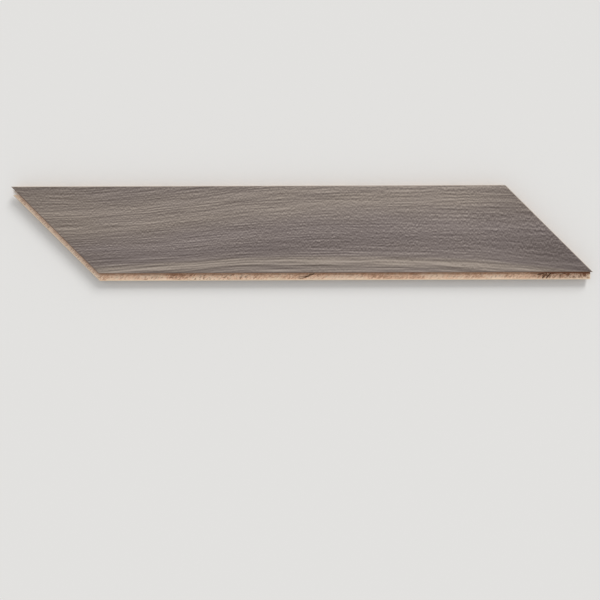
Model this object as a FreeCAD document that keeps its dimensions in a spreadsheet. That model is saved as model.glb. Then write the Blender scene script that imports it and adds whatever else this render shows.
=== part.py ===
"""Chevron parquet block: a hardwood wear layer on a birch plywood base, lying face up.

The block is a parallelogram with 45 degree mitred ends. X runs along the grain, Y across the
block and Z up. The origin is the middle of the block, on the plane of its back. One long edge
and one mitre carry a tongue, the two others a groove, and the back has sawn relief kerfs.
"""

import FreeCAD, Part
import os
import Sketcher

ORIGIN_POINT = (-1, 1)
START, END = 1, 2

DRIVING_SIZES = [
    ("face_width", 90.0, "width of the face, square to the long edges"),
    ("long_edge", 510.0, "length of one long edge of the face"),
    ("mitre_angle", 45.0, "degrees between a mitred end and the long edge"),
    ("wear_thickness", 4.0, "thickness of the hardwood wear layer"),
    ("ply_thickness", 11.0, "thickness of the plywood base"),
    ("face_bevel", 0.6, "bevel round the edge of the face"),
    ("tongue_thickness", 5.0, "height of the tongue of the long edge"),
    ("mitre_tongue_thickness", 4.0, "height of the tongue of the mitre"),
    ("back_shoulder", 3.8, "from the back up to the underside of the side tongue"),
    ("side_reach", 7.5, "how far the tongue of the long edge stands out"),
    ("mitre_reach", 5.5, "how far the tongue of the mitre stands out"),
    ("tongue_end_trim", 1.0, "how far the side tongue stops short of the right tip"),
    ("shoulder_setback", 0.2, "how much the shoulder below a tongue is held in"),
    ("back_bevel", 1.6, "bevel on the back along the two tongued edges"),
    ("tongue_ease", 0.9, "bevel on the two arrises of a tongue"),
    ("groove_ease", 0.4, "bevel on the two lips of a groove"),
    ("fit_gap", 0.1, "play above and below a tongue in its groove"),
    ("end_gap", 0.5, "play in front of a tongue in its groove"),
    ("kerf_width", 2.5, "width of a relief kerf in the back"),
    ("kerf_depth", 3.0, "depth of a relief kerf"),
    ("kerf_pitch", 100.0, "from one kerf to the next"),
    ("first_kerf", 58.5, "from the left tip of the face to the first kerf"),
    ("last_kerf_margin", 30.0, "least distance from the last kerf to the right tip"),
    ("overrun", 6.0, "how far a cutter runs clear of the stock"),
]

# Lines that several sketches share, each as an expression on the driving sizes.
HALF_WIDTH = "(Sizes.face_width / 2)"
HALF_EDGE = "(Sizes.long_edge / 2)"
SIDE_JOINT = ("Sizes.back_shoulder", "(Sizes.back_shoulder + Sizes.tongue_thickness)")
JOINT_MIDDLE = "(Sizes.back_shoulder + Sizes.tongue_thickness / 2)"
MITRE_JOINT = (
    f"({JOINT_MIDDLE} - Sizes.mitre_tongue_thickness / 2)",
    f"({JOINT_MIDDLE} + Sizes.mitre_tongue_thickness / 2)",
)
ABOVE_PLY = "(Sizes.ply_thickness + Sizes.overrun)"
BELOW_PLY = "(0 - Sizes.overrun)"
LEFT_TIP = f"(0 - {HALF_EDGE} - {HALF_WIDTH} / tan(Sizes.mitre_angle))"
RIGHT_TIP = f"({HALF_EDGE} + {HALF_WIDTH} / tan(Sizes.mitre_angle))"
TIP_TO_TIP = "(Sizes.long_edge + Sizes.face_width / tan(Sizes.mitre_angle))"

doc = FreeCAD.newDocument("parquet_block")


def make_size_sheet():
    """The spreadsheet of driving sizes, one alias to a row."""
    sheet = doc.addObject("Spreadsheet::Sheet", "Sizes")
    for row, (alias, value, meaning) in enumerate(DRIVING_SIZES, start=1):
        sheet.set(f"A{row}", alias)
        sheet.set(f"B{row}", str(value))
        sheet.setAlias(f"B{row}", alias)
        sheet.set(f"C{row}", meaning)
    doc.recompute()
    return sheet


def origin_plane(body, role):
    """The plane of a body's own origin that has this role."""
    return next(plane for plane in body.Origin.OriginFeatures if plane.Role == role)


def mitre_line(y, edge="+", outward="0"):
    """X of a mitre line at height y across the block, moved square to itself by outward.

    edge is + for the right mitre and - for the left one.
    """
    along = f"{HALF_EDGE} + ({outward}) / sin(Sizes.mitre_angle)"
    return f"(0 {edge} ({along}) - ({y}) / tan(Sizes.mitre_angle))"


def profile_sketch(body, name, plane_role, loops):
    """A sketch of closed straight-sided loops, every corner held by two bound distances."""
    sketch = body.newObject("Sketcher::SketchObject", name)
    sketch.AttachmentSupport = [(origin_plane(body, plane_role), "")]
    sketch.MapMode = "FlatFace"
    for loop in loops:
        corners = [
            FreeCAD.Vector(float(sizes.evalExpression(x)), float(sizes.evalExpression(y)), 0)
            for x, y in loop
        ]
        first_line = sketch.GeometryCount
        for here, there in zip(corners, corners[1:] + corners[:1]):
            sketch.addGeometry(Part.LineSegment(here, there), False)
        for index, (x, y) in enumerate(loop):
            line = first_line + index
            next_line = first_line + (index + 1) % len(loop)
            sketch.addConstraint(Sketcher.Constraint("Coincident", line, END, next_line, START))
            for kind, expression, value in (
                ("DistanceX", x, corners[index].x),
                ("DistanceY", y, corners[index].y),
            ):
                held = Sketcher.Constraint(kind, *ORIGIN_POINT, line, START, value)
                number = sketch.addConstraint(held)
                sketch.setExpression(f"Constraints[{number}]", expression)
    return sketch


def turn_across_mitre(sketch, edge):
    """Turns an XZ sketch square to a mitre: its origin on the mitre line, its X axis across it."""
    upright = FreeCAD.Vector(0, 1, 0)
    across = "90 - Sizes.mitre_angle"
    turn = FreeCAD.Rotation(upright, float(sizes.evalExpression(across)))
    sketch.AttachmentOffset = FreeCAD.Placement(FreeCAD.Vector(), turn)
    sketch.setExpression("AttachmentOffset.Base.x", f"0 {edge} {HALF_EDGE}")
    sketch.setExpression("AttachmentOffset.Rotation.Angle", across)


def pad(body, sketch, name, length):
    """Stock raised from a sketch."""
    feature = body.newObject("PartDesign::Pad", name)
    feature.Profile = sketch
    feature.setExpression("Length", length)
    doc.recompute()
    return feature


def cut_through(body, sketch, name):
    """One straight cutter pass that runs right through the stock, both ways."""
    before = body.Shape.Volume
    feature = body.newObject("PartDesign::Pocket", name)
    feature.Profile = sketch
    feature.Type = "ThroughAll"
    feature.SideType = "Symmetric"
    doc.recompute()
    if body.Shape.Volume >= before:
        raise RuntimeError(f"{name} cut nothing")
    return feature


def tongue_loops(shoulder, reach, joint):
    """What a cutter takes off above and below a tongue that stands out towards minus."""
    tongue_under, tongue_over = joint
    tip = f"({shoulder} - {reach})"
    eased_tip = f"({tip} + Sizes.tongue_ease)"
    clear = f"({tip} - Sizes.overrun)"
    held_in = f"({shoulder} + Sizes.shoulder_setback)"
    bevel_end = f"({held_in} + Sizes.back_bevel + Sizes.overrun)"
    over = [
        (shoulder, tongue_over),
        (eased_tip, tongue_over),
        (tip, f"({tongue_over} - Sizes.tongue_ease)"),
        (clear, f"({tongue_over} - Sizes.tongue_ease)"),
        (clear, ABOVE_PLY),
        (shoulder, ABOVE_PLY),
    ]
    under = [
        (held_in, tongue_under),
        (eased_tip, tongue_under),
        (tip, f"({tongue_under} + Sizes.tongue_ease)"),
        (clear, f"({tongue_under} + Sizes.tongue_ease)"),
        (clear, BELOW_PLY),
        (bevel_end, BELOW_PLY),
        (held_in, "Sizes.back_bevel"),
    ]
    return [over, under]


def groove_loop(mouth, reach, joint):
    """The section of a groove for a tongue of this reach, with its mouth at + mouth."""
    groove_under, groove_over = f"({joint[0]} - Sizes.fit_gap)", f"({joint[1]} + Sizes.fit_gap)"
    bottom = f"({mouth} - {reach} - Sizes.end_gap)"
    eased_mouth = f"({mouth} - Sizes.groove_ease)"
    clear = f"({mouth} + Sizes.overrun)"
    under_lip = f"({groove_under} - Sizes.groove_ease)"
    over_lip = f"({groove_over} + Sizes.groove_ease)"
    return [
        (bottom, groove_under),
        (eased_mouth, groove_under),
        (mouth, under_lip),
        (clear, under_lip),
        (clear, over_lip),
        (mouth, over_lip),
        (eased_mouth, groove_over),
        (bottom, groove_over),
    ]


def make_wear_layer():
    """The hardwood layer: the face of the block, with a fine bevel round it."""
    body = doc.addObject("PartDesign::Body", "WearLayer")
    body.Label = "walnut_wear_layer"
    near, far = f"(0 - {HALF_WIDTH})", HALF_WIDTH
    outline = [
        (mitre_line(near, "-"), near),
        (mitre_line(near, "+"), near),
        (mitre_line(far, "+"), far),
        (mitre_line(far, "-"), far),
    ]
    sketch = profile_sketch(body, "FaceOutline", "XY_Plane", [outline])
    sketch.setExpression("AttachmentOffset.Base.z", "Sizes.ply_thickness")
    layer = pad(body, sketch, "WearLayerStock", "Sizes.wear_thickness")
    top = layer.Shape.BoundBox.ZMax
    face_edges = [
        f"Edge{number}"
        for number, edge in enumerate(layer.Shape.Edges, start=1)
        if all(abs(vertex.Z - top) < Part.Precision.confusion() for vertex in edge.Vertexes)
    ]
    bevel = body.newObject("PartDesign::Chamfer", "FaceBevel")
    bevel.Base = (layer, face_edges)
    bevel.setExpression("Size", "Sizes.face_bevel")
    doc.recompute()
    body.Placement = FreeCAD.Placement()
    return body


def make_plywood_base():
    """The plywood: sheet stock cut to the parallelogram, then one cutter pass to each edge."""
    body = doc.addObject("PartDesign::Body", "PlywoodBase")
    body.Label = "plywood_base"
    near, far = f"(0 - {HALF_WIDTH})", HALF_WIDTH
    tongue_tip = f"({near} - Sizes.side_reach)"
    tongue_end = f"({RIGHT_TIP} - Sizes.tongue_end_trim)"
    outline = [
        (mitre_line(tongue_tip, "-", "Sizes.mitre_reach"), tongue_tip),
        (tongue_end, tongue_tip),
        (tongue_end, near),
        (RIGHT_TIP, near),
        (mitre_line(far, "+"), far),
        (mitre_line(far, "-", "Sizes.mitre_reach"), far),
    ]
    stock = profile_sketch(body, "StockOutline", "XY_Plane", [outline])
    pad(body, stock, "PlywoodStock", "Sizes.ply_thickness")

    side_tongue = profile_sketch(
        body,
        "SideTongueCutter",
        "YZ_Plane",
        tongue_loops(near, "Sizes.side_reach", SIDE_JOINT),
    )
    cut_through(body, side_tongue, "SideTongue")

    mitre_tongue = profile_sketch(
        body,
        "MitreTongueCutter",
        "XZ_Plane",
        tongue_loops("0", "Sizes.mitre_reach", MITRE_JOINT),
    )
    turn_across_mitre(mitre_tongue, "-")
    cut_through(body, mitre_tongue, "MitreTongue")

    side_groove = profile_sketch(
        body,
        "SideGrooveCutter",
        "YZ_Plane",
        [groove_loop(far, "Sizes.side_reach", SIDE_JOINT)],
    )
    cut_through(body, side_groove, "SideGroove")

    mitre_groove = profile_sketch(
        body,
        "MitreGrooveCutter",
        "XZ_Plane",
        [groove_loop("0", "Sizes.mitre_reach", MITRE_JOINT)],
    )
    turn_across_mitre(mitre_groove, "+")
    cut_through(body, mitre_groove, "MitreGroove")

    cut_relief_kerfs(body)
    body.Placement = FreeCAD.Placement()
    return body


def cut_relief_kerfs(body):
    """Saw cuts across the back, at one pitch, which let the block lie flat on its glue."""
    middle = f"({LEFT_TIP} + Sizes.first_kerf)"
    left = f"({middle} - Sizes.kerf_width / 2)"
    right = f"({middle} + Sizes.kerf_width / 2)"
    blade = profile_sketch(
        body,
        "KerfBlade",
        "XZ_Plane",
        [
            [
                (left, BELOW_PLY),
                (right, BELOW_PLY),
                (right, "Sizes.kerf_depth"),
                (left, "Sizes.kerf_depth"),
            ]
        ],
    )
    kerf = cut_through(body, blade, "ReliefKerf")
    one_kerf = body.Shape.Volume
    kerf_count = (
        f"floor(({TIP_TO_TIP} - Sizes.first_kerf - Sizes.last_kerf_margin) / Sizes.kerf_pitch) + 1"
    )
    row = body.newObject("PartDesign::LinearPattern", "ReliefKerfs")
    row.Originals = [kerf]
    row.Direction = (blade, ["H_Axis"])
    row.Mode = "Spacing"
    row.setExpression("Offset", "Sizes.kerf_pitch")
    row.setExpression("Occurrences", kerf_count)
    body.Tip = row
    doc.recompute()
    if row.Occurrences > 1 and body.Shape.Volume >= one_kerf:
        raise RuntimeError("the row of relief kerfs cut nothing")


def check_document(bodies):
    """Stops the build if any feature failed or any piece isn't one valid solid."""
    for item in doc.Objects:
        if {"Invalid", "Error"} & set(item.State):
            raise RuntimeError(f"{item.Name} failed: {item.State}")
    for body in bodies:
        shape = body.Shape
        if shape.isNull() or not shape.isValid() or len(shape.Solids) != 1:
            raise RuntimeError(f"{body.Label} is not one valid solid")


sizes = make_size_sheet()
pieces = [make_plywood_base(), make_wear_layer()]
doc.recompute()
check_document(pieces)

os.makedirs("parts", exist_ok=True)
for piece in pieces:
    piece.Shape.exportStep(f"parts/{piece.Label}.step")
    box = piece.Shape.BoundBox
    print(
        f"{piece.Label}: {piece.Shape.Volume / 1000:.1f} cm3,"
        f" x {box.XMin:.1f} to {box.XMax:.1f}, y {box.YMin:.1f} to {box.YMax:.1f},"
        f" z {box.ZMin:.1f} to {box.ZMax:.1f}, {len(piece.Shape.Faces)} faces"
    )
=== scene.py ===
"""Chevron parquet block lying face up: greyed walnut on birch plywood, tongued and grooved.

Shader patterns work in millimetres, as X along the grain, Y across the block and Z up from its
back. Meshes are in metres.
"""

import contextlib
import functools
import math

import bmesh
import bpy
from mathutils import Euler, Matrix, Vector


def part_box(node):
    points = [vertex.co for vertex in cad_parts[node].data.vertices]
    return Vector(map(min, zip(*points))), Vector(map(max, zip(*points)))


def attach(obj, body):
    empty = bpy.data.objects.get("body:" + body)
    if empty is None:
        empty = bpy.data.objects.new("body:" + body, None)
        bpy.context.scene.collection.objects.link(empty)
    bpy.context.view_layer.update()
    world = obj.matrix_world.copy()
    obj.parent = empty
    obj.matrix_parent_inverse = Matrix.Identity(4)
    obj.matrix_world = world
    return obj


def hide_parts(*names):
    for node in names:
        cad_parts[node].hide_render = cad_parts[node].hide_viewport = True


bl_info = {
    "name": "Chevron parquet block",
    "version": (1, 0, 0),
    "blender": (4, 5, 0),
    "location": "3D View > Sidebar > Parquet",
    "description": "Finishes a tongued and grooved parquet block and its studio",
    "category": "Object",
}

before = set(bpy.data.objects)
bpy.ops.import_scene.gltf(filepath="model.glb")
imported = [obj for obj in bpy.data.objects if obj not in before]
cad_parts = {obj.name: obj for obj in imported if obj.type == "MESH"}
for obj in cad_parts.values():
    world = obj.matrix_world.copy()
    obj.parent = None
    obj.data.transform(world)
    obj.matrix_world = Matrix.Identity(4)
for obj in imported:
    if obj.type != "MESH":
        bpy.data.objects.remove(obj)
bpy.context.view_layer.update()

MM = 0.001
WEAR_NODE, BASE_NODE = "walnut_wear_layer", "plywood_base"
FACE_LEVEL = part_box(WEAR_NODE)[1].z
BASE_LOW, BASE_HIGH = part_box(BASE_NODE)

# Plywood: where one veneer ends and the next begins, up from the back, and how warm each one
# is. The first lies along X.
VENEER_ENDS = (1.6, 2.6, 3.5, 4.9, 6.2, 7.5, 9.5, 10.3)
VENEER_WARMTH = (0.15, 0.9, 0.3, 1.0, 0.2, 0.85, 0.35, 0.95, 0.25)
GLUE_REACH = 0.28
# The side tongue's underside and top, and the height above which a flat top is a splinter's.
TONGUE_UNDERSIDE, TONGUE_TOP, SPLINTERS_FROM = 3.8, 8.8, 9.2
FACE_HALF_WIDTH, HALF_LONG_EDGE = 45.0, 255.0
KERF_PITCH, FIRST_KERF, KERF_COUNT = 100.0, -241.5, 6
KERF_HALF_WIDTH, KERF_DEPTH = 1.25, 3.0

# Brown fibre torn out of the top of the side tongue. How much of it there is at each X,
FLECK_DENSITY = (
    (-300, 0.75),
    (-215, 0.6),
    (-180, 0.35),
    (-142, 0.95),
    (-65, 0.9),
    (-30, 0.45),
    (60, 0.4),
    (225, 0.4),
    (262, 0.9),
    (300, 0.9),
)
# and single stains: X, Y, reach along, reach across, lean, depth.
TONGUE_STAINS = (
    (246.5, -47.2, 4.2, 1.7, 0.0, 0.85),
    (264.0, -46.9, 10.0, 1.3, 0.0, 0.7),
    (279.0, -47.2, 5.0, 1.5, 0.0, 0.55),
    (289.0, -48.0, 2.4, 4.4, 0.0, 0.95),
    (276.5, -47.2, 2.0, 2.4, 0.3, 0.8),
    (270.0, -48.4, 1.8, 2.6, 0.6, 0.6),
    (256.4, -47.2, 2.6, 3.0, 0.9, 0.95),
    (9.0, -46.6, 10.0, 1.2, 2.0, 0.8),
    (4.5, -48.6, 5.0, 1.5, 1.4, 0.6),
    (-84.0, -46.6, 4.0, 1.1, 0.0, 0.75),
    (-152.0, -48.4, 7.0, 1.4, 0.8, 0.4),
)
# Pale places where the veneer above has split away cleanly, in the same terms.
TONGUE_LIGHTS = (
    (299.0, -49.2, 3.4, 3.6, 0.0, 0.9),
    (-297.6, 35.4, 3.0, 2.6, 0.0, 0.9),
    (-26.0, -50.6, 13.0, 1.5, -0.4, 0.75),
    (-146.0, -47.8, 7.0, 1.3, -2.2, 0.6),
    (-112.0, -49.6, 9.0, 1.2, 0.6, 0.4),
    (58.0, -50.4, 14.0, 1.2, 0.0, 0.4),
    (-196.0, -50.2, 10.0, 1.1, 0.0, 0.4),
)
# Cracks in the top of the side tongue. Each is a line of (X, Y, half width) at one depth.
TONGUE_CRACKS = (
    (2.0, ((13.0, -45.3, 0.6), (8.8, -46.6, 0.95), (5.6, -48.6, 0.75), (2.4, -50.0, 0.4))),
    (1.4, ((2.8, -49.9, 0.35), (-1.6, -50.4, 0.42), (-6.8, -50.0, 0.1))),
    (1.3, ((6.2, -48.0, 0.3), (1.0, -48.3, 0.34), (-5.0, -49.0, 0.08))),
    (2.2, ((248.9, -51.4, 0.5), (251.2, -48.9, 0.78), (253.8, -46.1, 0.66))),
    (2.4, ((252.9, -51.5, 0.5), (255.0, -49.0, 0.92), (257.9, -45.9, 0.82))),
    (1.6, ((243.6, -47.7, 0.2), (247.0, -47.0, 0.85), (250.6, -46.1, 0.4))),
    (1.2, ((267.0, -47.5, 0.12), (269.8, -46.9, 0.42), (273.8, -46.5, 0.12))),
)
# How far a crack's cutter stands clear of the surface, and how narrow its foot is.
CRACK_CLEAR, CRACK_TAPER = 0.4, 0.35
# Edges shorter than the first, at the tips, are closed up before the rest are rounded, and
# slivers shorter than the second after the cracks are cut.
SHORTEST_EDGE, SLIVER = 0.03, 0.002
FLAT_WITHIN, ARRIS_ANGLE, ARRIS_SEGMENTS = math.radians(0.2), math.radians(12), 2
# Gaps between the strips of the veneer that forms the underside of the side tongue.
CORE_GAPS = (
    (-1.4, ((-175.2, -45.6, 0.3), (-175.0, -49.0, 0.55), (-175.1, -53.0, 0.5))),
    (-1.2, ((-69.6, -48.2, 0.2), (-70.0, -50.6, 0.7), (-70.2, -53.0, 0.8))),
    (-1.3, ((147.8, -45.6, 0.5), (148.2, -49.4, 0.6), (148.0, -53.0, 0.35))),
)
# Splinters left outside the mitre beside the left tip: height, depth, then (X, Y, half width).
TIP_SPLINTERS = (
    (10.4, 0.9, ((-293.9, 39.4, 0.5), (-296.4, 40.2, 0.6), (-298.0, 41.0, 0.42), (-299.4, 42.0, 0.05))),
    (10.1, 0.6, ((-295.4, 41.0, 0.35), (-297.2, 42.0, 0.35), (-298.8, 43.3, 0.05))),
    (9.9, 0.8, ((-293.0, 38.4, 0.45), (-295.6, 38.9, 0.5), (-297.4, 39.0, 0.34), (-299.0, 38.8, 0.05))),
    (9.5, 0.6, ((-292.2, 37.6, 0.4), (-294.8, 37.9, 0.42), (-296.6, 37.6, 0.25), (-298.2, 37.1, 0.05))),
    (10.3, 0.4, ((-292.8, 38.6, 0.2), (-295.0, 40.0, 0.16), (-296.4, 41.8, 0.04))),
)
# Fibres torn loose along the mouths of the kerfs.
FIBRE_SPACING, FIBRE_LENGTH, FIBRE_RADIUS, FIBRE_LEVEL = 2.2, 0.75, 0.09, 0.16
FIBRE_SEED, FIBRE_SIDES = 7, 4
FIBRE_SETBACK, FIBRE_END_MARGIN = 0.05, 3.0
# The least and most of their lean, their turn and their scale.
FIBRE_LEAN = (math.radians(84), math.radians(90))
FIBRE_TURN = (math.radians(-32), math.radians(32))
FIBRE_SCALE = ((0.4,) * 3, (1.0, 1.0, 1.5))
# Where the plywood's dark, middle and light tones lie in its grain.
FIGURE_STOPS = (0.12, 0.5, 0.85)
# The names of the two materials, and the gloss of both.
WALNUT_FINISH, PLYWOOD_FINISH = "greyed_walnut", "crossed_birch"
SPECULAR = 0.25
# The studio: half the floor's side and its level in metres, the frame's side in pixels and the
# camera's sensor in millimetres.
FLOOR_HALF, FLOOR_LEVEL = 12.0, -0.05 * MM
FRAME_PX, SENSOR_WIDTH = 600, 36.0


def linear(red, green, blue):
    """A colour written in 0 to 255 display levels, as Blender's linear red, green and blue."""
    levels = (level / 255 for level in (red, green, blue))
    return tuple(c / 12.92 if c <= 0.04045 else ((c + 0.055) / 1.055) ** 2.4 for c in levels)


class Wire:
    """One number in a node tree. Arithmetic on it adds Math nodes."""

    def __init__(self, graph, socket):
        self.graph, self.socket = graph, socket

    def _math(self, operation, *others, clamp=False):
        return self.graph.math(operation, self, *others, clamp=clamp)

    def __add__(self, other):
        return self._math("ADD", other)

    def __sub__(self, other):
        return self._math("SUBTRACT", other)

    def __rsub__(self, other):
        return self.graph.math("SUBTRACT", other, self)

    def __mul__(self, other):
        return self._math("MULTIPLY", other)

    def __truediv__(self, other):
        return self._math("DIVIDE", other)

    def __neg__(self):
        return self._math("MULTIPLY", -1.0)

    def __abs__(self):
        return self._math("ABSOLUTE")

    def at_most(self, other):
        return self._math("MINIMUM", other)

    def at_least(self, other):
        return self._math("MAXIMUM", other)

    def clamped(self):
        return self._math("ADD", 0.0, clamp=True)

    def rise(self, start, end):
        """0 below start, 1 above end and an even S between them. Swapped, it falls."""
        node = self.graph.add("ShaderNodeMapRange", interpolation_type="SMOOTHSTEP")
        ends = (start, end, 0.0, 1.0) if start <= end else (end, start, 1.0, 0.0)
        self.graph.feed(node.inputs["Value"], self)
        for name, value in zip(("From Min", "From Max", "To Min", "To Max"), ends):
            node.inputs[name].default_value = value
        return Wire(self.graph, node.outputs["Result"])

    def hump(self, centre, reach):
        """1 at centre, falling to 0 at reach on either side."""
        return abs(self - centre).rise(reach, 0.0)

    def through(self, points, low, high):
        """This number carried through a smooth curve of (in, out) points, outputs low to high."""
        start, end = points[0][0], points[-1][0]
        node = self.graph.add("ShaderNodeFloatCurve")
        curve = node.mapping.curves[0]
        span = end - start
        for _ in range(len(points) - 2):
            curve.points.new(0.5, 0.5)
        for spot, (x, y) in zip(curve.points, points):
            spot.location = ((x - start) / span, (y - low) / (high - low))
        node.mapping.update()
        self.graph.feed(node.inputs["Value"], (self - start) / span)
        return Wire(self.graph, node.outputs["Value"]) * (high - low) + low


class Graph:
    """An emptied node tree, with short names for the nodes that this object needs."""

    def __init__(self, tree):
        self.tree = tree
        tree.nodes.clear()

    def add(self, kind, **settings):
        node = self.tree.nodes.new(kind)
        for name, value in settings.items():
            setattr(node, name, value)
        return node

    def feed(self, socket, value):
        if isinstance(value, Wire):
            value = value.socket
        if isinstance(value, bpy.types.NodeSocket):
            self.tree.links.new(value, socket)
        else:
            socket.default_value = value

    def math(self, operation, *values, clamp=False):
        node = self.add("ShaderNodeMath", operation=operation, use_clamp=clamp)
        for socket, value in zip(node.inputs, values):
            self.feed(socket, value)
        return Wire(self, node.outputs[0])

    def vector(self, x, y, z):
        node = self.add("ShaderNodeCombineXYZ")
        for socket, value in zip(node.inputs, (x, y, z)):
            self.feed(socket, value)
        return node.outputs[0]

    def split(self, socket):
        node = self.add("ShaderNodeSeparateXYZ")
        self.feed(node.inputs[0], socket)
        return [Wire(self, output) for output in node.outputs]

    def place(self):
        """X, Y and Z on the piece in millimetres, and the three parts of its surface normal."""
        coordinates = self.add("ShaderNodeTexCoord")
        place = [part / MM for part in self.split(coordinates.outputs["Object"])]
        return place, self.split(coordinates.outputs["Normal"])

    def noise(self, x, y, z, detail=2.0, roughness=0.5):
        """Noise about 0, mostly within -0.5 to 0.5, whose blots are one unit across."""
        node = self.add("ShaderNodeTexNoise")
        self.feed(node.inputs["Vector"], self.vector(x, y, z))
        for name, value in (("Scale", 1.0), ("Detail", detail), ("Roughness", roughness)):
            node.inputs[name].default_value = value
        return Wire(self, node.outputs["Fac"]) - 0.5

    def blend(self, part, first, second):
        """From first, at part 0, to second, at part 1."""
        return first + (second - first) * part

    def mix(self, part, first, second):
        """Two colours mixed; each is a socket or a linear (red, green, blue)."""
        node = self.add("ShaderNodeMix", data_type="RGBA")
        self.feed(node.inputs[0], part)
        for socket, colour in ((node.inputs[6], first), (node.inputs[7], second)):
            self.feed(socket, colour if isinstance(colour, bpy.types.NodeSocket) else (*colour, 1.0))
        return node.outputs[2]

    def ramp(self, fac, stops, interpolation="LINEAR"):
        """A colour ramp of (position, linear colour) stops."""
        node = self.add("ShaderNodeValToRGB")
        band = node.color_ramp
        band.interpolation = interpolation
        while len(band.elements) < len(stops):
            band.elements.new(0.5)
        for element, (position, colour) in zip(band.elements, stops):
            element.position = position
            element.color = (*colour, 1.0)
        self.feed(node.inputs[0], fac)
        return node.outputs[0]

    def finish(self, colour, roughness, height, relief):
        """The surface: a matt shader with this colour, roughness and relief in millimetres."""
        bump = self.add("ShaderNodeBump")
        bump.inputs["Strength"].default_value = 1.0
        bump.inputs["Distance"].default_value = relief * MM
        self.feed(bump.inputs["Height"], height)
        shader = self.add("ShaderNodeBsdfPrincipled")
        self.feed(shader.inputs["Base Color"], colour)
        self.feed(shader.inputs["Roughness"], roughness)
        self.feed(shader.inputs["Normal"], bump.outputs["Normal"])
        shader.inputs["Specular IOR Level"].default_value = SPECULAR
        output = self.add("ShaderNodeOutputMaterial")
        self.feed(output.inputs["Surface"], shader.outputs["BSDF"])


def new_material(name):
    """A material and its empty graph."""
    material = bpy.data.materials.new(name)
    material.use_nodes = True
    return material, Graph(material.node_tree)


def greatest(wires):
    """The highest of several numbers at each point."""
    return functools.reduce(Wire.at_least, wires)


# The figure of the face. Each growth line is an arch: how far it lies, in mm, above its crown
# at each X. Lines high on the face sweep up from the left, low ones fall away at both ends.
HIGH_ARCH = (
    (-300, -23.5),
    (-235, -25.5),
    (-200, -23.5),
    (-120, -14.5),
    (-30, -3.5),
    (30, 0.0),
    (150, 2.5),
    (200, 2.5),
    (300, -2.5),
)
LOW_ARCH = (
    (-300, -22.0),
    (-207, -10.0),
    (-124, -5.0),
    (-62, -1.0),
    (0, 0.0),
    (61, 0.0),
    (123, -2.0),
    (164, -3.6),
    (206, -6.8),
    (247, -10.7),
    (300, -17.0),
)
# Tone of the growth lines, in display levels, by the height of their crown across the face.
# The levels were read off the photo's averages along these lines, and five were then tuned.
BAND_TONES = (
    (-48, 110),
    (-44.5, 114),
    (-41, 127),
    (-38, 114),
    (-36, 125),
    (-34, 140),
    (-31.5, 134),
    (-28.5, 119),
    (-22, 114),
    (-15, 110),
    (-9, 113),
    (0, 119),
    (6, 117),
    (13, 121),
    (20, 125),
    (25, 131),
    (28.5, 130),
    (31.5, 124),
    (37, 125),
    (41, 130),
    (45, 125),
    (50, 119),
    (60, 118),
    (68, 112),
)
# How warm they are, from bluish grey at 0 to tan at 1, set after the photo's hue by region.
BAND_WARMTH = (
    (-48, 0.5),
    (-40, 0.7),
    (-32, 0.95),
    (-27, 0.3),
    (-18, 0.15),
    (-4, 0.12),
    (8, 0.3),
    (18, 0.65),
    (28, 0.85),
    (45, 0.75),
    (60, 0.6),
    (68, 0.5),
)
# The display level of the darkest of the wood's three colours, how far up the lightest is, and
# where the three lie between them.
TONE_LOW, TONE_SPAN, TONE_STOPS = 80.0, 80.0, (0.0, 0.5, 1.0)
# What is added to the tone by X, for the shade of the block's two ends.
ALONG_TONES = (
    (-300, -9),
    (-240, -5),
    (-150, -3),
    (0, -1),
    (120, -1),
    (190, -4),
    (300, -13),
)
# Soft shades across the growth lines: X, Y, reach along, reach across, depth in levels.
SOFT_SHADES = (
    (232.0, 30.0, 80.0, 32.0, 10.0),
    (180.0, 0.0, 80.0, 26.0, -6.0),
    (-60.0, 0.0, 70.0, 20.0, 4.0),
    (-190.0, 10.0, 60.0, 14.0, -4.0),
    (-120.0, 32.0, 70.0, 22.0, -4.0),
    (-215.0, -24.0, 110.0, 30.0, 4.0),
    (-70.0, -26.0, 120.0, 22.0, 4.0),
    (262.0, -30.0, 50.0, 26.0, 3.0),
)
# The tone that the bands are measured from, and how far apart two ribs of the grain lie.
FIGURE_MEAN, RIB_SHIFT = 120.0, 1.9
# Long dark streaks that stand out: X, crown height, half length and half width in mm, depth.
DARK_STREAKS = (
    (-128.0, 33.0, 17.0, 0.9, 26.0),
    (-215.0, 63.5, 13.0, 0.7, 24.0),
    (-76.0, 26.5, 7.0, 0.8, 18.0),
    (124.0, 38.6, 12.0, 0.6, 20.0),
    (6.0, -7.2, 10.0, 0.8, 18.0),
    (250.0, -2.0, 9.0, 0.7, 18.0),
    (205.0, 20.2, 16.0, 0.5, 14.0),
)


def growth_lines(graph, x, y, z):
    """The height of the crown of the growth line at a point, and the same for its fibres."""
    low, high = x.through(LOW_ARCH, -26, 4), x.through(HIGH_ARCH, -26, 4)
    level = y + graph.noise(x / 170, y / 30, z / 12, detail=1.0) * 4.0
    level = level + (z - FACE_LEVEL / MM) * 2.2
    crown = level - graph.blend(y.rise(-34, -8), low, high)
    return crown, level - graph.blend(y.rise(-50, 40), low, high)


def ribs(graph, x, line, width, depth):
    """Noise of a width across the grain, less its own copy one rib away, so it stays fine."""
    here = graph.noise(x, line / width, depth, detail=0.0)
    beside = graph.noise(x, (line + RIB_SHIFT) / width, depth, detail=0.0)
    return here - beside * 0.9


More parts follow.
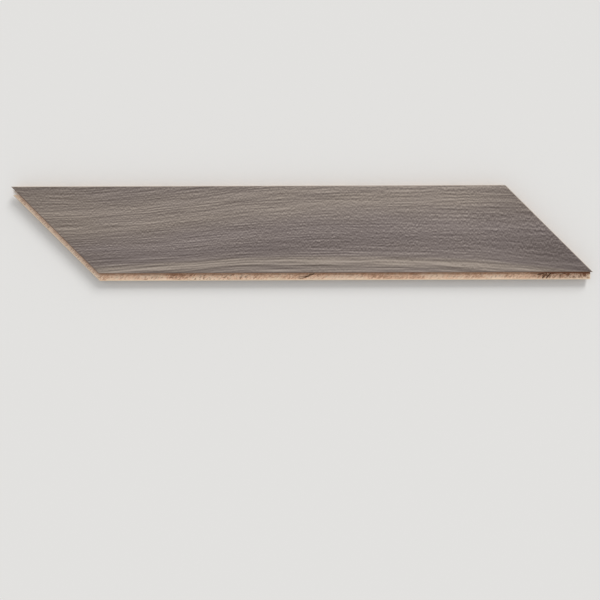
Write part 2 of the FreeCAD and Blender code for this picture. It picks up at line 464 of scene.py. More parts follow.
def make_walnut(settings):
    """Greyed walnut: arched growth lines, curl, long streaks and open pores."""
    material, graph = new_material(WALNUT_FINISH)
    (x, y, z), (normal_x, normal_y, normal_z) = graph.place()
    line, grain = growth_lines(graph, x, y, z)

    patches = graph.noise(x / 48, line / 13, 3.1, detail=1.0)
    curl_area = (line.hump(-8, 34) * 0.9 + patches * 2.2).clamped()
    curl = graph.noise(x / 3.4, grain / 2.6, z / 6, detail=1.0) * (curl_area * 0.6 + 0.1)
    fibre_line = grain + curl + graph.noise(x / 34, grain / 8, z / 9, detail=1.0) * 1.2

    streaks = ribs(graph, x / 44, fibre_line, 1.3, z / 5)
    marks = ribs(graph, x / 5.0, fibre_line, 1.2, z / 3) * 0.6
    marks = marks + ribs(graph, x / 1.9, fibre_line + 40.0, 1.05, z / 3)
    bands = (line.through(BAND_TONES, 100, 150) - FIGURE_MEAN) * settings.figure_contrast
    tone = bands + FIGURE_MEAN + x.through(ALONG_TONES, -20, 20)
    for where, level, along, across, depth in SOFT_SHADES:
        tone = tone - (x.hump(where, along) * y.hump(level, across)) * depth
    tone = tone + graph.noise(x / 150, line / 26, 7.7, detail=0.0) * settings.broad_contrast
    tone = tone + graph.noise(x / 120, line / 9, 4.9, detail=0.0) * settings.broad_contrast * 0.25
    straight = y.rise(-16, -34)
    tone = tone + streaks * settings.streak_contrast * (1.0 - curl_area * 0.3 + straight * 0.25)
    tone = tone + marks * settings.mark_contrast * (curl_area * 0.3 + 0.7 - straight * 0.4)
    for where, crown, length, width, depth in DARK_STREAKS:
        tone = tone - (x.hump(where, length) * line.hump(crown, width)) * depth

    pores = graph.noise(x / 4.5, fibre_line / 0.7, z / 0.5, detail=1.0).rise(0.1, 0.28)
    clusters = graph.noise(x / 14, fibre_line / 1.1, 5.5, detail=1.0).rise(0.05, 0.3)
    pores = (pores * (clusters * 0.75 + 0.25)).clamped()
    end_grain = abs(normal_x).rise(0.3, 0.8)

    fibres = graph.noise(x / 6, fibre_line / 0.22, z / 0.6, detail=2.0)
    tone = tone - clusters * settings.cluster_depth + fibres * settings.fibre_contrast
    depth = (tone - TONE_LOW) / TONE_SPAN
    cool = (settings.cool_dark, settings.cool_middle, settings.cool_light)
    warm = (settings.warm_dark, settings.warm_middle, settings.warm_light)
    cool_tone, warm_tone = (graph.ramp(depth, tuple(zip(TONE_STOPS, stops))) for stops in (cool, warm))
    warmth = line.through(BAND_WARMTH, 0, 1) + patches * 0.5 + x.rise(-180, -260) * 0.3
    colour = graph.mix(warmth.clamped(), cool_tone, warm_tone)
    colour = graph.mix(pores * settings.pore_depth, colour, settings.pore_colour)
    colour = graph.mix(end_grain * 0.3, colour, settings.cool_dark)
    # Paler fresh wood on the face bevel, shown only where the bevel faces +Y toward the key: partly real
    # fresh wood, partly painted highlight.
    bevel = normal_z.rise(0.98, 0.85) * normal_z.rise(0.3, 0.5)
    highlight_side = normal_y.rise(0.0, 0.3)
    wear_and_highlight = bevel * highlight_side * (fibres * 0.9 + settings.bevel_wear_and_highlight)
    colour = graph.mix(wear_and_highlight, colour, settings.bevel_colour)
    # Painted shade: walnut edges and bevels that face -Y, away from the key, over the side tongue, are
    # darkened brown.
    tongued = normal_y.rise(-0.2, -0.4) * normal_z.rise(0.98, 0.85)
    colour = graph.mix(tongued * 0.55, colour, settings.painted_shade_edge)

    height = fibres * 0.35 - pores * 0.8 + graph.noise(x / 60, line / 3, 2.2) * 0.5
    roughness = pores * 0.2 + graph.noise(x / 30, line / 4, 1.3) * 0.12 + 0.6
    graph.finish(colour, roughness, height, settings.relief)
    return material


def veneer_grain(graph, x, y, z):
    """1 where the grain lies along Y, how warm each veneer is, and 1 on a glue line."""
    swell = graph.noise(x / 30, y / 30, 4.4, detail=2.0) * 0.3
    level = z + swell
    thickness = (BASE_HIGH.z - BASE_LOW.z) / MM
    edges = [0.0, *VENEER_ENDS]
    crosswise = [(edge / thickness, (number % 2,) * 3) for number, edge in enumerate(edges)]
    shades = [(edge / thickness, (warmth,) * 3) for edge, warmth in zip(edges, VENEER_WARMTH)]
    cross = graph.ramp(level / thickness, crosswise, "CONSTANT")
    shade = graph.ramp(level / thickness, shades, "CONSTANT")
    glue = greatest(level.hump(edge, GLUE_REACH) for edge in VENEER_ENDS)
    return Wire(graph, cross), Wire(graph, shade), glue


def torn_marks(graph, x, y, table):
    """The depth of a table's stains: (x, y, reach along, reach across, lean, depth)."""
    ragged_x = x + graph.noise(x / 2.2, y / 1.1, 8.8, detail=2.0) * 3.0
    ragged_y = y + graph.noise(x / 2.6, y / 1.3, 2.9, detail=2.0) * 1.6
    marks = []
    for centre_x, centre_y, along, across, lean, depth in table:
        leaning_x = ragged_x - (ragged_y - centre_y) * lean
        marks.append(leaning_x.hump(centre_x, along) * ragged_y.hump(centre_y, across) * depth)
    return greatest(marks)


def make_plywood(settings):
    """Birch plywood: crossed veneers with glue lines, a pale back, sawn kerfs and torn fibres."""
    material, graph = new_material(PLYWOOD_FINISH)
    (x, y, z), (normal_x, normal_y, normal_z) = graph.place()
    cross, shade, glue = veneer_grain(graph, x, y, z)

    along = graph.blend(cross, x, y)
    across = graph.blend(cross, y, x)
    coarse = graph.noise(along / 26, across / 1.7, z / 2.2, detail=3.0, roughness=0.6)
    fine = graph.noise(along / 6, across / 0.4, z / 0.5, detail=2.0)
    end_grain = graph.blend(cross, abs(normal_x), abs(normal_y)).rise(0.35, 0.9)
    back = (normal_z.rise(-0.35, -0.6) * z.rise(1.75, 1.55)).clamped()
    figure = (coarse * 1.1 + fine * 0.5 + 0.5).clamped()
    stops = (settings.dark_core, settings.middle_core, settings.light_core)
    inner = graph.ramp(figure, tuple(zip(FIGURE_STOPS, stops)))

    patches = graph.noise(x / 120, y / 60, 1.0, detail=1.0).rise(-0.05, 0.2)
    pale = graph.mix(patches * 0.65, settings.back_veneer, settings.back_warm)
    growth = y + graph.noise(x / 60, y / 30, 8.3, detail=1.0) * 9.0
    lines = graph.noise(x / 16, growth / 1.5, 2.4, detail=2.0) * 2.2 + 0.35
    pale = graph.mix(lines.clamped() * 0.42, pale, settings.back_line)
    colour = graph.mix(end_grain * 0.72, inner, settings.end_grain)
    colour = graph.mix(shade * 0.6, colour, settings.warm_core)
    colour = graph.mix(glue * 0.75, colour, settings.glue_line)
    colour = graph.mix(back, colour, pale)

    beneath = (normal_z.rise(-0.8, -0.97) * z.rise(3.2, 3.5)).clamped()
    strands = graph.noise(x / 0.8, y / 26, 7.2, detail=2.0, roughness=0.6)
    bundles = graph.noise(x / 12, y / 60, 2.7, detail=2.0)
    strands = (strands * 1.9 + bundles * 1.2 + 0.6).clamped()
    stops = (settings.strand_dark, settings.strand_middle, settings.strand_light)
    colour = graph.mix(beneath, colour, graph.ramp(strands, tuple(zip(FIGURE_STOPS, stops))))
    upper = (normal_z.rise(0.4, 0.6) * z.rise(7.4, 7.8)).clamped()
    flat_top = (normal_z.rise(0.9, 0.97) * upper).clamped()
    to_side = -(y + FACE_HALF_WIDTH)
    to_mitre = -((x + y + HALF_LONG_EDGE) * math.sqrt(0.5))
    to_root = to_side.at_least(to_mitre)
    leaning = x - y
    strokes = graph.noise(leaning / 1.5, y / 3.4, 3.3, detail=1.0)
    grit = graph.noise(x / 1.5, y / 1.2, 5.1, detail=2.0)
    mottle = graph.noise(x / 22, y / 7, 6.6, detail=2.0)
    rough = (strokes * 1.4 + grit * 1.6 + mottle * 1.4 + 0.55).clamped()
    stops = (settings.tongue_dark, settings.tongue_middle, settings.tongue_light)
    planed = graph.ramp(rough, tuple(zip(FIGURE_STOPS, stops)))
    # The mitre tongue's top is painted paler: painted light, for the lesser shade that tongue lies in.
    on_mitre = (to_mitre - to_side).rise(-0.4, 0.4)
    planed = graph.mix(on_mitre * 0.5, planed, settings.mitre_tongue)
    on_splinter = z.rise(SPLINTERS_FROM, SPLINTERS_FROM + 0.2)
    planed = graph.mix(on_splinter * 0.85, planed, settings.splinter)
    colour = graph.mix(flat_top, colour, planed)
    fleck_area = x.through(FLECK_DENSITY, 0, 1) + graph.noise(x / 30, y / 9, 6.1) * 0.7
    flecks = graph.noise(leaning / 2.1, y / 2.8, 8.1, detail=1.0).rise(0.02, 0.14)
    flecks = flecks * fleck_area.clamped()
    # Painted shade, with some stain, in the corner at the tongue's root under the walnut's edge; less on
    # the mitre tongue, more towards the right tip.
    root_edge = to_root + graph.noise(x / 4, y / 4, 9.4, detail=3.0, roughness=0.7) * 4.4
    tip = x.rise(228, 256)
    root = root_edge.rise(3.2, 0.8) * (tip * 0.4 - on_mitre * 0.18 + 0.6)
    stains = torn_marks(graph, x, y, TONGUE_STAINS)
    blots = graph.noise(x / 3.4, y / 2.6, 2.2, detail=1.0).rise(-0.04, 0.14)
    # Darker and browner towards the right tip, most near the root.
    tip_darkening = tip * (to_side.rise(7.8, 3.0) * 0.6 + 0.4) * (blots * 0.75 + grit * 1.6 + 0.3)
    # Brown of torn fibre and stains, together with the painted root shade and the darkening towards the
    # tip.
    brown = greatest((flecks * 0.7, root, stains, tip_darkening.at_most(0.9)))
    lights = torn_marks(graph, x, y, TONGUE_LIGHTS)
    tongue_top = flat_top * z.rise(SPLINTERS_FROM + 0.2, SPLINTERS_FROM)
    colour = graph.mix(brown * tongue_top, colour, settings.tongue_brown)
    colour = graph.mix(lights * tongue_top, colour, settings.cut_arris)
    # Painted shade, with torn-fibre brown, on the walls inside the cracks of the tongue.
    below = (TONGUE_TOP - 0.12 - z).rise(0.0, 0.25) * z.rise(7.0, 7.1)
    crack_shade = below * to_side.rise(0.2, 0.5) * to_side.rise(6.6, 6.4) * to_mitre.rise(-2.0, -3.0)
    colour = graph.mix(crack_shade * 0.9, colour, settings.tongue_brown)
    arris = (normal_z.rise(0.95, 0.85) * upper).clamped()
    colour = graph.mix(arris * 0.8, colour, settings.cut_arris)

    kerf_place = graph.math("WRAP", x - FIRST_KERF, KERF_PITCH / 2, -KERF_PITCH / 2)
    in_kerf = abs(kerf_place).rise(KERF_HALF_WIDTH + 0.4, KERF_HALF_WIDTH + 0.05)
    in_kerf = in_kerf * z.rise(0.02, 0.25) * z.rise(KERF_DEPTH + 0.4, KERF_DEPTH + 0.1)
    colour = graph.mix(in_kerf * 0.8, colour, settings.scorched)

    fibres = graph.noise(along / 4, across / 0.25, z / 0.3, detail=2.0)
    height = fibres * 0.5 + coarse * 0.4 - glue * 0.3 + end_grain * fine * 0.8 - brown * 0.8
    height = height + grit * flat_top * 0.8
    roughness = end_grain * 0.1 + fine * 0.1 + 0.72
    graph.finish(colour, roughness, height, settings.relief)
    return material


class WalnutSettings(bpy.types.PropertyGroup):
    """The finish of the wear layer."""

    cool_dark: bpy.props.FloatVectorProperty(
        name="Cool dark", description="Dark grain, bluish wood",
        subtype="COLOR", default=linear(90, 79.8, 78.2),
    )
    cool_middle: bpy.props.FloatVectorProperty(
        name="Cool middle", description="Bluish wood",
        subtype="COLOR", default=linear(126.4, 115.8, 112.3),
    )
    cool_light: bpy.props.FloatVectorProperty(
        name="Cool light", description="Light grain, bluish wood",
        subtype="COLOR", default=linear(164, 153.2, 148),
    )
    warm_dark: bpy.props.FloatVectorProperty(
        name="Warm dark", description="Dark grain, tan wood",
        subtype="COLOR", default=linear(90, 79, 72.5),
    )
    warm_middle: bpy.props.FloatVectorProperty(
        name="Warm middle", description="Tan wood",
        subtype="COLOR", default=linear(127.3, 116.4, 107.8),
    )
    warm_light: bpy.props.FloatVectorProperty(
        name="Warm light", description="Light grain, tan wood",
        subtype="COLOR", default=linear(167, 154.2, 143),
    )
    pore_colour: bpy.props.FloatVectorProperty(
        name="Pores", description="The bottom of an open pore",
        subtype="COLOR", default=linear(72, 62, 57),
    )
    # Fresh walnut of the face bevel. On the side toward the key it is also a painted highlight.
    bevel_colour: bpy.props.FloatVectorProperty(
        name="Bevel", description="Freshly cut wood of the face bevel",
        subtype="COLOR", default=linear(178, 166, 153),
    )
    # Painted shade for the walnut's edges that face away from the key.
    painted_shade_edge: bpy.props.FloatVectorProperty(
        name="Tongued edge", description="Edge of the layer over a tongue",
        subtype="COLOR", default=linear(104, 80, 64),
    )
    # How much of the bevel's fresh wood and painted highlight shows.
    bevel_wear_and_highlight: bpy.props.FloatProperty(
        name="Bevel wear", description="How much of it shows",
        default=0.95, min=0.0, max=1.0, subtype="FACTOR",
    )
    figure_contrast: bpy.props.FloatProperty(
        name="Figure contrast", description="Of the growth lines against their mean",
        default=1.15, min=0.0,
    )
    broad_contrast: bpy.props.FloatProperty(
        name="Broad contrast", description="Of wide soft bands, in display levels",
        default=18.0, min=0.0,
    )
    streak_contrast: bpy.props.FloatProperty(
        name="Streak contrast", description="Of long streaks, in display levels",
        default=56.0, min=0.0,
    )
    mark_contrast: bpy.props.FloatProperty(
        name="Mark contrast", description="Of short curly marks, in levels",
        default=62.0, min=0.0,
    )
    fibre_contrast: bpy.props.FloatProperty(
        name="Fibre contrast", description="Of the finest fibres, in levels",
        default=22.0, min=0.0,
    )
    cluster_depth: bpy.props.FloatProperty(
        name="Pore groups", description="How much a group of pores darkens, in levels",
        default=9.0, min=0.0,
    )
    pore_depth: bpy.props.FloatProperty(
        name="Pore depth", description="How dark one pore is",
        default=0.6, min=0.0, max=1.0, subtype="FACTOR",
    )
    relief: bpy.props.FloatProperty(
        name="Relief", description="Depth of the grain, in millimetres",
        default=0.12, min=0.0,
    )
    arris_radius: bpy.props.FloatProperty(
        name="Arris", description="Rounding of the outward edges",
        default=0.00012, min=0.0, unit="LENGTH",
    )


class PlywoodSettings(bpy.types.PropertyGroup):
    """The finish of the plywood base."""

    back_veneer: bpy.props.FloatVectorProperty(
        name="Back veneer", description="The pale outer veneer",
        subtype="COLOR", default=linear(233, 223, 208),
    )
    back_warm: bpy.props.FloatVectorProperty(
        name="Warm back", description="Warmer patches of the back",
        subtype="COLOR", default=linear(229, 210, 183),
    )
    back_line: bpy.props.FloatVectorProperty(
        name="Back grain", description="Fine grain of the back",
        subtype="COLOR", default=linear(206, 186, 160),
    )
    light_core: bpy.props.FloatVectorProperty(
        name="Light core", description="Light grain of inner veneers",
        subtype="COLOR", default=linear(240, 223, 201),
    )
    middle_core: bpy.props.FloatVectorProperty(
        name="Middle core", description="General tone of inner veneers",
        subtype="COLOR", default=linear(229, 207, 181),
    )
    dark_core: bpy.props.FloatVectorProperty(
        name="Dark core", description="Dark grain of inner veneers",
        subtype="COLOR", default=linear(194, 162, 132),
    )
    warm_core: bpy.props.FloatVectorProperty(
        name="Warm core", description="Tone of the warmer veneers",
        subtype="COLOR", default=linear(176, 136, 102),
    )
    end_grain: bpy.props.FloatVectorProperty(
        name="End grain", description="Veneers cut across",
        subtype="COLOR", default=linear(206, 180, 152),
    )
    strand_light: bpy.props.FloatVectorProperty(
        name="Light strand", description="Under the tongues",
        subtype="COLOR", default=linear(240, 226, 210),
    )
    strand_middle: bpy.props.FloatVectorProperty(
        name="Middle strand", description="Under the tongues",
        subtype="COLOR", default=linear(224, 202, 184),
    )
    strand_dark: bpy.props.FloatVectorProperty(
        name="Dark strand", description="Under the tongues",
        subtype="COLOR", default=linear(176, 142, 124),
    )
    tongue_light: bpy.props.FloatVectorProperty(
        name="Light tongue", description="Light grain of the tongue's top",
        subtype="COLOR", default=linear(251, 224, 198),
    )
    tongue_middle: bpy.props.FloatVectorProperty(
        name="Middle tongue", description="General tone of the tongue's top",
        subtype="COLOR", default=linear(246, 207, 177),
    )
    tongue_dark: bpy.props.FloatVectorProperty(
        name="Dark tongue", description="Dark grain of the tongue's top",
        subtype="COLOR", default=linear(202, 159, 131),
    )
    # Painted light: the mitre tongue's top kept paler than the side tongue's.
    mitre_tongue: bpy.props.FloatVectorProperty(
        name="Mitre tongue", description="Paler top of that tongue",
        subtype="COLOR", default=linear(246, 226, 207),
    )
    splinter: bpy.props.FloatVectorProperty(
        name="Splinter", description="Splinters beside the tip",
        subtype="COLOR", default=linear(226, 212, 199),
    )
    # Also used for the painted shade at the tongue's root and inside its cracks.
    tongue_brown: bpy.props.FloatVectorProperty(
        name="Torn fibre", description="Brown fibre on the tongue",
        subtype="COLOR", default=linear(118, 74, 48),
    )
    cut_arris: bpy.props.FloatVectorProperty(
        name="Cut arris", description="Fresh wood of the tongue's bevels",
        subtype="COLOR", default=linear(250, 228, 197),
    )
    glue_line: bpy.props.FloatVectorProperty(
        name="Glue line", description="Resin between veneers",
        subtype="COLOR", default=linear(112, 76, 54),
    )
    scorched: bpy.props.FloatVectorProperty(
        name="Sawn kerf", description="Walls of the kerfs",
        subtype="COLOR", default=linear(186, 152, 122),
    )
    relief: bpy.props.FloatProperty(
        name="Relief", description="Depth of the grain, in millimetres",
        default=0.12, min=0.0,
    )
    arris_radius: bpy.props.FloatProperty(
        name="Arris", description="Rounding of the outward edges",
        default=0.00015, min=0.0, unit="LENGTH",
    )


class StageSettings(bpy.types.PropertyGroup):
    """The studio round the block."""

    camera_height: bpy.props.FloatProperty(
        name="Camera height", description="Above the face",
        default=1.0, min=0.2, unit="LENGTH",
    )
    lens: bpy.props.FloatProperty(
        name="Lens", description="Focal length in mm",
        default=58.2, min=10.0,
    )
    face_centre_px: bpy.props.FloatVectorProperty(
        name="Face centre", description="Pixel of the face's centre in a 600 pixel frame",
        size=2, default=(301.9, 229.15),
    )
    camera_roll: bpy.props.FloatProperty(
        name="Camera roll", description="About the view line",
        default=math.radians(-0.19), subtype="ANGLE",
    )
    floor_colour: bpy.props.FloatVectorProperty(
        name="Floor", description="Colour of the floor",
        subtype="COLOR", default=linear(226, 225, 223),
    )
    sky_strength: bpy.props.FloatProperty(
        name="Sky", description="Strength of the even light",
        default=0.67, min=0.0,
    )
    key_strength: bpy.props.FloatProperty(
        name="Key", description="Strength of the low key light",
        default=1.7, min=0.0,
    )
    key_elevation: bpy.props.FloatProperty(
        name="Key elevation", description="Above the floor",
        default=math.radians(38), subtype="ANGLE",
    )
    key_bearing: bpy.props.FloatProperty(
        name="Key bearing", description="Turned to the left from +Y",
        default=math.radians(-22), subtype="ANGLE",
    )
    key_softness: bpy.props.FloatProperty(
        name="Key softness", description="Angle that the key light fills",
        default=math.radians(22), subtype="ANGLE",
    )


@contextlib.contextmanager
def opened(mesh):
    """A mesh opened for editing, and written back afterwards."""
    work = bmesh.new()
    work.from_mesh(mesh)
    yield work
    work.to_mesh(mesh)
    work.free()


def joined_copy(node, name):
    """A CAD node's shape as a new piece: loose triangles joined, flat faces made whole."""
    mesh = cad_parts[node].data.copy()
    mesh.name = name
    with opened(mesh) as work:
        bmesh.ops.remove_doubles(work, verts=work.verts, dist=SHORTEST_EDGE * MM)
        bmesh.ops.dissolve_limit(work, angle_limit=FLAT_WITHIN, verts=work.verts, edges=work.edges)
    mesh.materials.clear()
    return linked(name, mesh)


def soften_arrises(piece, radius):
    """Rounds the outward edges a little, as sanding and handling do, where there is room."""
    with opened(piece.data) as work:
        weight = work.edges.layers.float.new("bevel_weight_edge")
        for edge in work.edges:
            room = min(other.calc_length() for corner in edge.verts for other in corner.link_edges)
            if edge.is_convex and edge.calc_face_angle() > ARRIS_ANGLE and room > radius:
                edge[weight] = 1.0
    bevel = piece.modifiers.new("arrises", "BEVEL")
    bevel.width = radius
    bevel.segments = ARRIS_SEGMENTS
    bevel.limit_method = "WEIGHT"
    settle(piece)


def weld(piece):
    """Merges the slivers that cutting leaves, and splits the faces into even triangles."""
    with opened(piece.data) as work:
        bmesh.ops.remove_doubles(work, verts=work.verts, dist=SLIVER * MM)
        bmesh.ops.dissolve_degenerate(work, dist=SLIVER * MM, edges=work.edges)
        bmesh.ops.triangulate(work, faces=work.faces, ngon_method="BEAUTY")
        bmesh.ops.dissolve_degenerate(work, dist=SLIVER * MM, edges=work.edges)


def wedges(name, rows, pointed=False):
    """Closed tapering strips as one mesh. A row is (level, depth, (X, Y, half width) points).

    A pointed strip gets shallower as it narrows.
    """
    points, faces = [], []
    for level, depth, line in rows:
        start = len(points)
        widest = max(half for _, _, half in line)
        for number, (x, y, half) in enumerate(line):
            before = line[max(number - 1, 0)]
            after = line[min(number + 1, len(line) - 1)]
            along = Vector((after[0] - before[0], after[1] - before[1], 0.0)).normalized()
            side = Vector((-along.y, along.x, 0.0))
            foot = half * CRACK_TAPER
            lower = level - (depth * half / widest if pointed else depth)
            for reach, height in ((half, level), (-half, level), (-foot, lower), (foot, lower)):
                points.append((Vector((x, y, height)) + side * reach) * MM)
        for number in range(len(line) - 1):
            here, there = start + 4 * number, start + 4 * number + 4
            for corner in range(4):
                following = (corner + 1) % 4
                faces.append((here + corner, here + following, there + following, there + corner))
        last = start + 4 * (len(line) - 1)
        faces.append((start + 3, start + 2, start + 1, start))
        faces.append((last, last + 1, last + 2, last + 3))
    mesh = bpy.data.meshes.new(name)
    mesh.from_pydata(points, [], faces)
    with opened(mesh) as work:
        bmesh.ops.recalc_face_normals(work, faces=work.faces)
    return mesh


def linked(name, data):
    """A new object in the scene."""
    thing = bpy.data.objects.new(name, data)
    bpy.context.scene.collection.objects.link(thing)
    return thing


def cut_cracks(piece, cracks, surface):
    """Cuts cracks into a piece with no modifiers: down from a surface, or up where depth is negative."""
    rows = []
    for depth, line in cracks:
        clear = math.copysign(CRACK_CLEAR, depth)
        rows.append((surface + clear, depth + clear, line))
    cutter = linked("cracks", wedges("cracks", rows))
    cut = piece.modifiers.new("cracks", "BOOLEAN")
    cut.operation = "DIFFERENCE"
    cut.solver = "EXACT"
    cut.use_self = True
    cut.object = cutter
    before = len(piece.data.polygons)
    settle(piece)
    bpy.data.objects.remove(cutter)
    if len(piece.data.polygons) <= before:
        raise RuntimeError("the cracks were not cut")


def settle(piece):
    """Turns a piece with modifiers into a plain mesh."""
    view = bpy.context.evaluated_depsgraph_get()
    mesh = bpy.data.meshes.new_from_object(piece.evaluated_get(view), depsgraph=view)
    mesh.name = piece.name
    piece.modifiers.clear()
    piece.data = mesh


def kerf_mouths():
    """The two long edges of every kerf's mouth, as (X, toward the kerf, low Y, high Y)."""
    mouths = []
    for number in range(KERF_COUNT):
        middle = FIRST_KERF + KERF_PITCH * number
        for side in (-1, 1):
            x = middle + side * (KERF_HALF_WIDTH + FIBRE_SETBACK)
            low = max(-FACE_HALF_WIDTH, -HALF_LONG_EDGE - x) + FIBRE_END_MARGIN
            high = min(FACE_HALF_WIDTH, HALF_LONG_EDGE - x) - FIBRE_END_MARGIN
            mouths.append((x, -side, low, high))
    return mouths


def fibre_tree(material):
    """Thin fibres that stand along the given lines, each a slim pyramid lying over."""
    tree = bpy.data.node_groups.new("torn_fibres", "GeometryNodeTree")
    face = tree.interface
    face.new_socket("Geometry", in_out="INPUT", socket_type="NodeSocketGeometry")
    for name, default in (
        ("Spacing", FIBRE_SPACING * MM),
        ("Length", FIBRE_LENGTH * MM),
        ("Radius", FIBRE_RADIUS * MM),
        ("Heading", 0.0),
    ):
        socket = face.new_socket(name, in_out="INPUT", socket_type="NodeSocketFloat")
        socket.default_value = default
    face.new_socket("Geometry", in_out="OUTPUT", socket_type="NodeSocketGeometry")
    graph = Graph(tree)

    def spread(low, high, seed, data_type="FLOAT"):
        node = graph.add("FunctionNodeRandomValue", data_type=data_type)
        sockets = [socket for socket in node.inputs if socket.enabled]
        sockets[0].default_value = low
        sockets[1].default_value = high
        sockets[-1].default_value = FIBRE_SEED + seed
        return next(socket for socket in node.outputs if socket.enabled)

    given = graph.add("NodeGroupInput").outputs
    curve = graph.add("GeometryNodeMeshToCurve")
    graph.feed(curve.inputs["Mesh"], given["Geometry"])
    dots = graph.add("GeometryNodeCurveToPoints", mode="LENGTH")
    graph.feed(dots.inputs["Curve"], curve.outputs[0])
    graph.feed(dots.inputs["Length"], given["Spacing"])
    cone = graph.add("GeometryNodeMeshCone", fill_type="NGON")
    graph.feed(cone.inputs["Vertices"], FIBRE_SIDES)
    graph.feed(cone.inputs["Radius Top"], 0.0)
    graph.feed(cone.inputs["Radius Bottom"], given["Radius"])
    graph.feed(cone.inputs["Depth"], given["Length"])
    lean = spread(*FIBRE_LEAN, 1)
    turn = graph.math("ADD", given["Heading"], spread(*FIBRE_TURN, 2))
    stand = graph.add("GeometryNodeInstanceOnPoints")
    graph.feed(stand.inputs["Points"], dots.outputs["Points"])
    graph.feed(stand.inputs["Instance"], cone.outputs["Mesh"])
    graph.feed(stand.inputs["Rotation"], graph.vector(0.0, lean, turn))
    graph.feed(stand.inputs["Scale"], spread(*FIBRE_SCALE, 3, "FLOAT_VECTOR"))
    whole = graph.add("GeometryNodeRealizeInstances")
    graph.feed(whole.inputs[0], stand.outputs[0])
    finish = graph.add("GeometryNodeSetMaterial")
    graph.feed(finish.inputs["Geometry"], whole.outputs[0])
    graph.feed(finish.inputs["Material"], material)
    graph.feed(graph.add("NodeGroupOutput").inputs[0], finish.outputs[0])
    return tree


def grow_fibres(tree, heading, mouths):
    """One side's fibres as a plain mesh object."""
    points, edges = [], []
    for x, _, low, high in mouths:
        edges.append((len(points), len(points) + 1))
        points += [(x * MM, low * MM, FIBRE_LEVEL * MM), (x * MM, high * MM, FIBRE_LEVEL * MM)]
    lines = bpy.data.meshes.new("kerf_fibres")
    lines.from_pydata(points, edges, [])
    piece = linked("kerf_fibres", lines)
    growth = piece.modifiers.new("fibres", "NODES")
    growth.node_group = tree
    sockets = {item.name: item.identifier for item in tree.interface.items_tree if item.in_out == "INPUT"}
    growth[sockets["Heading"]] = heading
    settle(piece)
    return piece


class PARQUET_OT_kerf_fibres(bpy.types.Operator):
    """Stand torn fibres along the mouths of the kerfs"""

    bl_idname = "parquet.kerf_fibres"
    bl_label = "Kerf fibres"

    def execute(self, context):
        material = bpy.data.materials[PLYWOOD_FINISH]
        tree = fibre_tree(material)
        mouths = kerf_mouths()
        sides = [
            grow_fibres(tree, heading, [mouth for mouth in mouths if mouth[1] == toward])
            for toward, heading in ((1, 0.0), (-1, math.pi))
        ]
        for piece, name in zip(sides, ("kerf_fibres_left", "kerf_fibres_right")):
            if not piece.data.polygons:
                raise RuntimeError("no fibres grew along the kerfs")
            piece.name = name
            piece.data.materials.clear()
            piece.data.materials.append(material)
            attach(piece, "root")
        return {"FINISHED"}


class PARQUET_OT_tip_splinters(bpy.types.Operator):
    """Leave splinters of plywood beside the left tip"""

    bl_idname = "parquet.tip_splinters"
    bl_label = "Tip splinters"

    def execute(self, context):
        mesh = wedges("tip_splinters", TIP_SPLINTERS, pointed=True)
        mesh.materials.append(bpy.data.materials[PLYWOOD_FINISH])
        piece = linked("tip_splinters", mesh)
        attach(piece, "root")
        return {"FINISHED"}


class PARQUET_OT_wear_layer(bpy.types.Operator):
    """Finish the walnut wear layer"""

    bl_idname = "parquet.wear_layer"
    bl_label = "Wear layer"

    def execute(self, context):
        settings = context.scene.walnut_settings
        piece = joined_copy(WEAR_NODE, "wear_lamella")
        soften_arrises(piece, settings.arris_radius)
        piece.data.materials.append(make_walnut(settings))
        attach(piece, "root")
        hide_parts(WEAR_NODE)
        return {"FINISHED"}


class PARQUET_OT_plywood_base(bpy.types.Operator):
    """Finish the plywood base with its tongues, grooves and kerfs"""

    bl_idname = "parquet.plywood_base"
    bl_label = "Plywood base"

    def execute(self, context):
        settings = context.scene.plywood_settings
        piece = joined_copy(BASE_NODE, "grooved_plywood")
        soften_arrises(piece, settings.arris_radius)
        cut_cracks(piece, TONGUE_CRACKS, TONGUE_TOP)
        cut_cracks(piece, CORE_GAPS, TONGUE_UNDERSIDE)
        weld(piece)
        piece.data.materials.append(make_plywood(settings))
        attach(piece, "root")
        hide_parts(BASE_NODE)
        return {"FINISHED"}


class PARQUET_OT_stage(bpy.types.Operator):
    """Lay the floor, light the block and set the camera above it"""

    bl_idname = "parquet.stage"
    bl_label = "Stage"

    def execute(self, context):
        settings = context.scene.stage_settings
        lay_floor(settings)
        light_studio(context, settings)
        set_camera(context, settings)
        context.scene.view_settings.view_transform = "Standard"
        return {"FINISHED"}


def lay_floor(settings):
    """A plain pale floor just under the block."""
    low, high = -FLOOR_HALF, FLOOR_HALF
    corners = ((low, low), (high, low), (high, high), (low, high))
    mesh = bpy.data.meshes.new("floor")
    mesh.from_pydata([(x, y, FLOOR_LEVEL) for x, y in corners], [], [(0, 1, 2, 3)])
    material, graph = new_material("floor_paint")
    shader = graph.add("ShaderNodeBsdfDiffuse")
    graph.feed(shader.inputs["Color"], (*settings.floor_colour, 1.0))
    output = graph.add("ShaderNodeOutputMaterial")
    graph.feed(output.inputs["Surface"], shader.outputs["BSDF"])
    mesh.materials.append(material)
    floor = linked("floor", mesh)


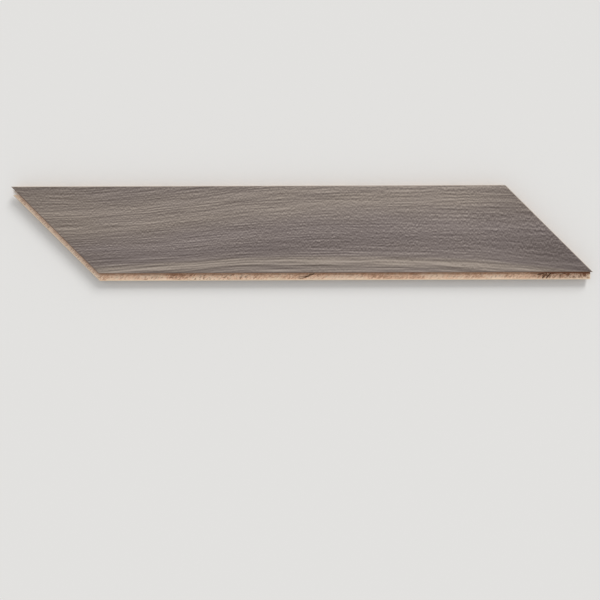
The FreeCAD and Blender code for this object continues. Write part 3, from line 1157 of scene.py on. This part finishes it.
def light_studio(context, settings):
    """An even white sky, and a soft low light from beyond the block, a little to the right."""
    world = bpy.data.worlds.new("studio_sky")
    world.use_nodes = True
    graph = Graph(world.node_tree)
    sky, backdrop = (graph.add("ShaderNodeBackground") for _ in range(2))
    graph.feed(sky.inputs["Color"], (1.0, 1.0, 1.0, 1.0))
    graph.feed(sky.inputs["Strength"], settings.sky_strength)
    graph.feed(backdrop.inputs["Color"], (*settings.floor_colour, 1.0))
    path = graph.add("ShaderNodeLightPath")
    rays = ("Is Camera Ray", "Is Glossy Ray", "Is Transmission Ray")
    seen = greatest(Wire(graph, path.outputs[ray]) for ray in rays)
    choice = graph.add("ShaderNodeMixShader")
    for socket, source in zip(choice.inputs, (seen, sky.outputs[0], backdrop.outputs[0])):
        graph.feed(socket, source)
    output = graph.add("ShaderNodeOutputWorld")
    graph.feed(output.inputs["Surface"], choice.outputs[0])
    context.scene.world = world
    lamp = bpy.data.lights.new("key", "SUN")
    lamp.energy = settings.key_strength
    lamp.angle = settings.key_softness
    key = linked("key", lamp)
    toward = Vector((0.0, 1.0, 0.0))
    toward.rotate(Euler((settings.key_elevation, 0.0, settings.key_bearing)))
    key.rotation_euler = toward.to_track_quat("Z", "Y").to_euler()


def set_camera(context, settings):
    """Looks straight down, with the face where the reference view has it."""
    data = bpy.data.cameras.new("camera")
    data.lens = settings.lens
    data.sensor_width = SENSOR_WIDTH
    camera = linked("camera", data)
    pixel = settings.camera_height * data.sensor_width / data.lens / FRAME_PX
    right = (settings.face_centre_px[0] - FRAME_PX / 2) * pixel
    up = (FRAME_PX / 2 - settings.face_centre_px[1]) * pixel
    roll = settings.camera_roll
    camera.location = (
        -(right * math.cos(roll) - up * math.sin(roll)),
        -(right * math.sin(roll) + up * math.cos(roll)),
        FACE_LEVEL + settings.camera_height,
    )
    camera.rotation_euler = (0.0, 0.0, roll)
    context.scene.camera = camera


class PARQUET_PT_panel(bpy.types.Panel):
    """The block's settings and steps, in the 3D view's sidebar."""

    bl_label = "Parquet block"
    bl_space_type = "VIEW_3D"
    bl_region_type = "UI"
    bl_category = "Parquet"

    def draw(self, context):
        for name, group in SETTINGS.items():
            box = self.layout.box()
            for setting in group.__annotations__:
                box.prop(getattr(context.scene, name), setting)
        for step in STEPS:
            self.layout.operator(step.bl_idname)


STEPS = (
    PARQUET_OT_wear_layer,
    PARQUET_OT_plywood_base,
    PARQUET_OT_tip_splinters,
    PARQUET_OT_kerf_fibres,
    PARQUET_OT_stage,
)
SETTINGS = {
    "walnut_settings": WalnutSettings,
    "plywood_settings": PlywoodSettings,
    "stage_settings": StageSettings,
}


def register():
    for group in (*SETTINGS.values(), *STEPS, PARQUET_PT_panel):
        bpy.utils.register_class(group)
    for name, group in SETTINGS.items():
        setattr(bpy.types.Scene, name, bpy.props.PointerProperty(type=group))


def unregister():
    for name in SETTINGS:
        delattr(bpy.types.Scene, name)
    for group in reversed((*SETTINGS.values(), *STEPS, PARQUET_PT_panel)):
        bpy.utils.unregister_class(group)


def main():
    register()
    bpy.ops.parquet.wear_layer()
    bpy.ops.parquet.plywood_base()
    bpy.ops.parquet.tip_splinters()
    bpy.ops.parquet.kerf_fibres()
    bpy.ops.parquet.stage()


if __name__ == "__main__":
    main()
